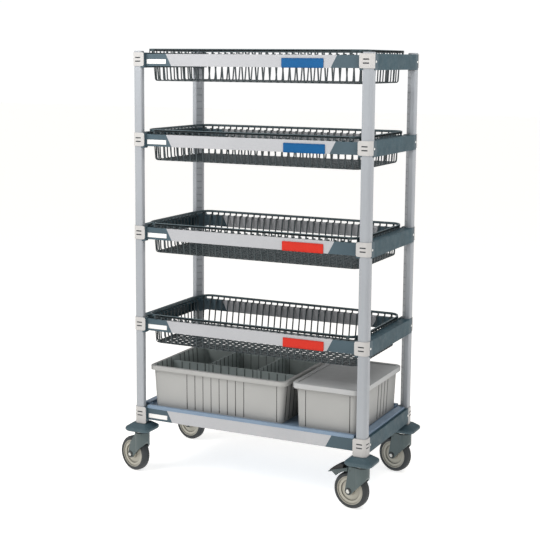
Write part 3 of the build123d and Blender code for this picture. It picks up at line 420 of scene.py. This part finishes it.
def add_block(bm, centre, size, bevel, turn=None):
    """A block with bevelled edges."""
    made = bmesh.ops.create_cube(bm, size=1.0)["verts"]
    bmesh.ops.scale(bm, vec=size, verts=made)
    edges = list({e for v in made for e in v.link_edges})
    bevelled = bmesh.ops.bevel(bm, geom=edges, offset=bevel, segments=2, affect="EDGES", profile=0.5)
    verts = list({v for f in bevelled["faces"] for v in f.verts})
    place = Matrix.Translation(centre) @ (turn or Matrix.Identity(4))
    bmesh.ops.transform(bm, matrix=place, verts=verts)


def add_lathe(bm, profile, place, segments=40):
    """A closed ring or button: a profile of (radius, height) pairs turned about the place's Z axis."""
    rings = []
    for k in range(segments):
        angle = 2 * math.pi * k / segments
        rings.append([bm.verts.new(place @ Vector((r * math.cos(angle), r * math.sin(angle), h)))
                      for r, h in profile])
    for k in range(segments):
        here, there = rings[k], rings[(k + 1) % segments]
        for i in range(len(profile)):
            j = (i + 1) % len(profile)
            bm.faces.new((here[i], there[i], there[j], here[j]))


# ---------------------------------------------------------------- baskets

# A basket is drawn with the top of its shelf's rails at height zero.
PITCH = 25.4                          # of the slots and of the floor's holes
SLOT = 20.8
SIDE_SLOTS, END_SLOTS = 29, 12
CORNER_X, CORNER_Y = 366.5, 150.6     # the middles of the rounded corners
ARC = (8, 24.5, 41, 49, 65.5, 82)     # degrees round a corner, with a bar in its middle
FLOOR_HOLE = 16.5
FLOOR_REACH_X, FLOOR_REACH_Y = 14, 6  # holes on each side of the floor's middle one
BASKET_DROP = 94.0                    # from the rails' tops down to the basket's lowest face
BEND_HALF_X, BEND_HALF_Y = 389.5, 177.5
BEND_Z, BEND_RADIUS = -85, 9
WALL_RUN_X, WALL_RUN_Y, WALL_RISE = 3.9, 14.5, 88.3
SHOULDER_IN, SHOULDER_OUT, SHOULDER_Z = (403.6, 202.6), (410.4, 215.4), 0.3
WALL = 3.0
RIM_OUT = (412.0, 217.0)
RIM_TOP, RIM_BAND = 18.0, 8.5         # the rim's top and the height of its thick band
# The thick band's section: distances inward from the lip's outer face and up from the band's foot.
RIM_SECTION = ((0.0, 0.9), (0.0, RIM_BAND - 1.6), (0.45, RIM_BAND - 0.5), (1.6, RIM_BAND),
               (3.9, RIM_BAND), (5.05, RIM_BAND - 0.5), (5.5, RIM_BAND - 1.6), (5.5, 0.9), (4.6, 0.0),
               (0.9, 0.0))
# The open strips of a corner, counted from the last slot's edge on the side before it.
OPEN_CORNER_STRIPS = (2, 3, 5, 6)


def slot_lines(count):
    """The places of the slots' edges along a side with this many slots."""
    return [PITCH * (k - (count - 1) / 2) + s * SLOT / 2 for k in range(count) for s in (-1, 1)]


def basket_loop(half_x, half_y, z):
    """One level of the basket: straight sides and rounded corners, with a point at each slot's edge."""
    long_side = slot_lines(SIDE_SLOTS)
    short_side = slot_lines(END_SLOTS)
    points = []
    for turn, line, a, b, ca, cb in ((0, long_side, half_x, half_y, CORNER_X, CORNER_Y),
                                     (1, short_side, half_y, half_x, CORNER_Y, CORNER_X),
                                     (2, long_side, half_x, half_y, CORNER_X, CORNER_Y),
                                     (3, short_side, half_y, half_x, CORNER_Y, CORNER_X)):
        flat = [(-ca, -b)] + [(t, -b) for t in line] + [(ca, -b)]
        arc = [(ca + (a - ca) * math.sin(math.radians(t)), -cb - (b - cb) * math.cos(math.radians(t)))
               for t in ARC]
        for x, y in flat + arc:
            for _ in range(turn):
                x, y = -y, x
            points.append((x, y, z))
    return points


def side_open(index):
    """Whether the strip of wall that starts at this point of a level is a slot."""
    counts = (2 * SIDE_SLOTS, 2 * END_SLOTS) * 2
    for count in counts:
        span = count + 2 + len(ARC)
        if index < span:
            in_flat = 1 <= index <= count and index % 2 == 1
            return in_flat or index - count in OPEN_CORNER_STRIPS
        index -= span
    return False


def basket_sections():
    """The wall's outer levels from the floor's edge to the lip, each with whether a slot cuts it."""
    sections = []
    for t in (0, 18, 36, 54, 72, 90):
        s, c = math.sin(math.radians(t)), math.cos(math.radians(t))
        sections.append((BEND_HALF_X + BEND_RADIUS * s, BEND_HALF_Y + BEND_RADIUS * s,
                         BEND_Z - BEND_RADIUS * c, t >= 18))
    for share in (0.5, 0.965):
        sections.append((BEND_HALF_X + BEND_RADIUS + WALL_RUN_X * share,
                         BEND_HALF_Y + BEND_RADIUS + WALL_RUN_Y * share, BEND_Z + WALL_RISE * share, True))
    sections.append((*SHOULDER_IN, SHOULDER_Z, True))
    sections.append((*SHOULDER_OUT, SHOULDER_Z, True))
    for z, slotted in ((1.9, True), (3.4, True), (RIM_TOP - RIM_BAND, False), (RIM_TOP - 2.0, False)):
        sections.append((*RIM_OUT, z, slotted))
    return sections


def grid_lines(reach):
    """The lines of the floor's grid along one axis: its border and the edges of its holes."""
    end = PITCH * reach + PITCH / 2
    edges = [PITCH * k + s * FLOOR_HOLE / 2 for k in range(-reach, reach + 1) for s in (-1, 1)]
    return [-end] + edges + [end]


def basket_mesh():
    """The slotted tub with its grid floor, as a thin shell."""
    bm = bmesh.new()
    sections = basket_sections()
    levels = [[bm.verts.new(p) for p in basket_loop(*section[:3])] for section in sections]
    count = len(levels[0])
    for low, high, (_, _, _, slotted) in zip(levels, levels[1:], sections):
        for i in range(count):
            if slotted and side_open(i):
                continue
            j = (i + 1) % count
            bm.faces.new((low[i], low[j], high[j], high[i]))
    xs, ys = grid_lines(FLOOR_REACH_X), grid_lines(FLOOR_REACH_Y)
    floor_z = sections[0][2]
    grid = [[bm.verts.new((x, y, floor_z)) for x in xs] for y in ys]
    for r in range(len(ys) - 1):
        for c in range(len(xs) - 1):
            hole = r % 2 == 1 and c % 2 == 1
            if not hole:
                bm.faces.new((grid[r][c], grid[r][c + 1], grid[r + 1][c + 1], grid[r + 1][c]))
    # The strip between the bend's lowest level and the grid's border is filled with triangles.
    bend_verts = set(levels[0])
    grid_verts = set(grid[0]) | set(grid[-1]) | {row[0] for row in grid} | {row[-1] for row in grid}
    free = [e for e in bm.edges if len(e.link_faces) == 1]
    border = [e for e in free if all(v in bend_verts for v in e.verts)]
    inner = [e for e in free if all(v in grid_verts for v in e.verts)]
    bmesh.ops.triangle_fill(bm, use_beauty=True, use_dissolve=False, edges=border + inner)
    return to_mesh(bm, "basket_shell")


def rim_mesh():
    """The basket's thick rim: a rounded bar swept round the lip."""
    bm = bmesh.new()
    loops = []
    for inward, rise in RIM_SECTION:
        loops.append([bm.verts.new(p) for p in basket_loop(RIM_OUT[0] - inward, RIM_OUT[1] - inward,
                                                           RIM_TOP - RIM_BAND + rise)])
    for a, b in zip(loops, loops[1:] + loops[:1]):
        for i in range(len(a)):
            j = (i + 1) % len(a)
            bm.faces.new((a[i], a[j], b[j], b[i]))
    return to_mesh(bm, "basket_rim")


shell = basket_mesh()
rim = rim_mesh()
for number in range(1, 5):
    low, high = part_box(f"basket_{number}")
    place = Matrix.Translation((0, 0, low.z + BASKET_DROP * MM))
    piece = new_piece(f"basket_tub_{number}", shell, f"basket_{number}", "basket_charcoal", place=place)
    thick = piece.modifiers.new("thickness", "SOLIDIFY")
    thick.thickness = WALL * MM
    thick.offset = -1.0
    thick.use_even_offset = True
    soft = piece.modifiers.new("soft_edges", "BEVEL")
    soft.width = 0.6 * MM
    soft.segments = 2
    soft.limit_method = "ANGLE"
    soft.angle_limit = math.radians(50)
    soft.harden_normals = True
    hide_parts(f"basket_{number}")
    new_piece(f"basket_rim_{number}", rim, f"basket_{number}", "basket_rim", place=place)


# ---------------------------------------------------------------- small fittings on the frame

COLLAR_OUT = 20.2                     # from a post's middle to its collar's outer faces
# Painted shade: dark blocks sunk into the collars' slots stand for the shade inside them.
MARK_LONG, MARK_THICK, MARK_HIGH = 20.9, 0.9, 4.1
MARK_SUNK = 0.7
MARK_X, MARK_Y = POST_X - 3.45, POST_Y + 1.6
MARK_DROPS = (13.0, 25.7)
slot_shade_blocks = bmesh.new()
for sx, sy in CORNERS.values():
    for top in SHELF_TOPS:
        for drop in MARK_DROPS:
            add_block(slot_shade_blocks, (sx * MARK_X, sy * (POST_Y + COLLAR_OUT - MARK_SUNK), top - drop),
                      (MARK_LONG, MARK_THICK, MARK_HIGH), 0.2)
            if top == SHELF_TOPS[-1]:
                add_block(slot_shade_blocks, (sx * (POST_X + COLLAR_OUT - MARK_SUNK), sy * MARK_Y, top - drop),
                          (MARK_THICK, MARK_LONG, MARK_HIGH), 0.2)
new_piece("collar_slot_shade", to_mesh(slot_shade_blocks, "collar_slot_shade", False), "frame", "slot_shade_black")

RIB_SIZE = (3.0, 1.7, 134.0)
RIB_SIDE, RIB_MIDDLE_Z = 2.25, 319.0
ribs = bmesh.new()
for step in (-3, -2, -1, 8, 9, 10, 11):
    for side in (-1, 1):
        add_block(ribs, (FIRST_GROOVE + GROOVE_PITCH * step, LONG_DIVIDER_Y + side * RIB_SIDE, RIB_MIDDLE_Z),
                  RIB_SIZE, 0.3)
new_piece("divider_ribs", to_mesh(ribs, "divider_ribs", False), "dividers", "divider_grey")

SCREW_DROP = 21.0
SCREW_INWARD, LOWEST_SCREW_INWARD = 7.7, 22.2
SCREW_PROFILE = ((0.05, -0.1), (0.05, 0.5), (1.5, 0.6), (1.7, 1.35), (2.0, 1.6), (3.0, 1.5), (3.7, 1.0),
                 (4.0, 0.3), (4.0, -0.1))
screws = bmesh.new()
for sx, sy in CORNERS.values():
    for top in SHELF_TOPS:
        inward = LOWEST_SCREW_INWARD if top == SHELF_TOPS[-1] else SCREW_INWARD
        place = (Matrix.Translation((sx * (POST_X + COLLAR_OUT), sy * (POST_Y - inward), top - SCREW_DROP))
                 @ Matrix.Rotation(sx * math.pi / 2, 4, "Y"))
        add_lathe(screws, SCREW_PROFILE, place, 24)
heads = new_piece("screw_heads", to_mesh(screws, "screw_heads"), "frame", "screw_steel")
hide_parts("rail_screws")

TRAIL, WHEEL_RADIUS, FORK_OUT = 37.0, 63.5, 25.0
WASHER_PROFILE = ((7.0, 0.0), (7.0, 1.3), (11.6, 1.3), (12.2, 0.8), (12.2, 0.0))
# The brake pad's middle line in its caster's plane: its inner end, its bend and its toe.
PAD_LINE = (Vector((70.0, 0, 153.0)), Vector((92.0, 0, 141.0)), Vector((112.6, 0, 124.0)))
RIDGES_PER_SIDE, RIDGE_SIZE = 5, (2.4, 38.0, 1.6)
FIRST_RIDGE, RIDGE_STEPS = 0.6, 5.4   # in steps from one ridge to the next along a side

for corner, (sx, sy) in CORNERS.items():
    caster = (Matrix.Translation((sx * POST_X, sy * POST_Y, 0))
              @ Matrix.Rotation(math.radians(180 - HEADINGS[corner]), 4, "Z"))
    washers = bmesh.new()
    for side in (-1, 1):
        place = (caster @ Matrix.Translation((TRAIL, side * FORK_OUT, WHEEL_RADIUS))
                 @ Matrix.Rotation(-side * math.pi / 2, 4, "X"))
        add_lathe(washers, WASHER_PROFILE, place)
    new_piece(f"axle_washers_{corner}", to_mesh(washers, "axle_washers"), f"swivel_{corner}", "washer_dark")
    if corner.endswith("right"):
        ridges = bmesh.new()
        for start, end in zip(PAD_LINE, PAD_LINE[1:]):
            tilt = Matrix.Rotation(-math.atan2(end.z - start.z, end.x - start.x), 4, "Y")
            for k in range(RIDGES_PER_SIDE):
                middle = start.lerp(end, (k + FIRST_RIDGE) / RIDGE_STEPS)
                add_block(ridges, middle, RIDGE_SIZE, 0.5, tilt)
        bmesh.ops.transform(ridges, matrix=caster, verts=ridges.verts)
        new_piece(f"pad_ridges_{corner}", to_mesh(ridges, "pad_ridges"), f"pedal_{corner}", "pad_black")


# ---------------------------------------------------------------- studio

FLOOR_HALF = 30000.0
FLOOR_GLOW = 0.65
# The sky is white near the horizon and dimmer from there up, so that it lights the tops less.
SKY_FROM_Z, SKY_TO_Z, SKY_LOW, SKY_HIGH = 0.1, 0.35, 1.02, 0.35

floor_mesh = bmesh.new()
bmesh.ops.create_grid(floor_mesh, x_segments=8, y_segments=8, size=FLOOR_HALF)
floor = bpy.data.objects.new("floor", to_mesh(floor_mesh, "floor"))
bpy.context.scene.collection.objects.link(floor)
floor_pale = moulded("floor_pale", srgb(246, 242, 236), low=0.99, mottle=0.8, rough=(0.75, 0.85),
                     depth=0.0, round_off=0.0, gloss=0.1)
glow = next(n for n in floor_pale.node_tree.nodes if n.type == "BSDF_PRINCIPLED")
glow.inputs["Emission Color"].default_value = WHITE
glow.inputs["Emission Strength"].default_value = FLOOR_GLOW
floor.data.materials.append(floor_pale)

world = bpy.data.worlds.new("studio")
bpy.context.scene.world = world
world.use_nodes = True
sky = next(n for n in world.node_tree.nodes if n.type == "BACKGROUND")
sky.inputs["Color"].default_value = WHITE
direction = world.node_tree.nodes.new("ShaderNodeTexCoord")
heights = world.node_tree.nodes.new("ShaderNodeSeparateXYZ")
fade = world.node_tree.nodes.new("ShaderNodeMapRange")
for socket, value in (("From Min", SKY_FROM_Z), ("From Max", SKY_TO_Z), ("To Min", SKY_LOW),
                      ("To Max", SKY_HIGH)):
    fade.inputs[socket].default_value = value
world.node_tree.links.new(direction.outputs["Generated"], heights.inputs["Vector"])
world.node_tree.links.new(heights.outputs["Z"], fade.inputs["Value"])
world.node_tree.links.new(fade.outputs["Result"], sky.inputs["Strength"])


def area_light(name, location, target, size, power):
    """A soft square light that faces a point."""
    data = bpy.data.lights.new(name, "AREA")
    data.shape = "SQUARE"
    data.size = size
    data.energy = power
    light = bpy.data.objects.new(name, data)
    light.location = location
    light.rotation_mode = "QUATERNION"
    light.rotation_quaternion = (Vector(target) - Vector(location)).to_track_quat("-Z", "Y")
    bpy.context.scene.collection.objects.link(light)


area_light("key", location=(-1.3, -1.7, 2.4), target=(0, 0, 1.0), size=1.7, power=46.0)
area_light("fill", location=(1.5, -0.6, 2.4), target=(0, 0, 1.1), size=1.2, power=20.0)

# The camera that was fitted to the photo, in the photo's pixels, metres and degrees.
FOCAL_PIXELS, CENTRE_ROW, FRAME_PIXELS = 1223.9, 227.0, 540
CAMERA_PLACE = (1.8524, -3.9095, 1.4940)
YAW, PITCH_DOWN, ROLL = (math.radians(a) for a in (25.593, 7.747, -0.447))
forward = Vector((-math.sin(YAW) * math.cos(PITCH_DOWN), math.cos(YAW) * math.cos(PITCH_DOWN),
                  -math.sin(PITCH_DOWN)))
right = Vector((math.cos(YAW), math.sin(YAW), 0.0))
upward = right.cross(forward)
rolled_right = right * math.cos(ROLL) - upward * math.sin(ROLL)
rolled_up = right * math.sin(ROLL) + upward * math.cos(ROLL)
lens = bpy.data.cameras.new("camera")
lens.sensor_width = 36.0
lens.lens = lens.sensor_width * FOCAL_PIXELS / FRAME_PIXELS
lens.shift_y = (CENTRE_ROW - FRAME_PIXELS / 2) / FRAME_PIXELS
lens.clip_start, lens.clip_end = 0.05, 100.0
camera = bpy.data.objects.new("camera", lens)
bpy.context.scene.collection.objects.link(camera)
axes = Matrix((rolled_right, rolled_up, -forward)).transposed()
camera.matrix_world = Matrix.Translation(CAMERA_PLACE) @ axes.to_4x4()
bpy.context.scene.camera = camera
bpy.context.scene.view_settings.view_transform = "Standard"
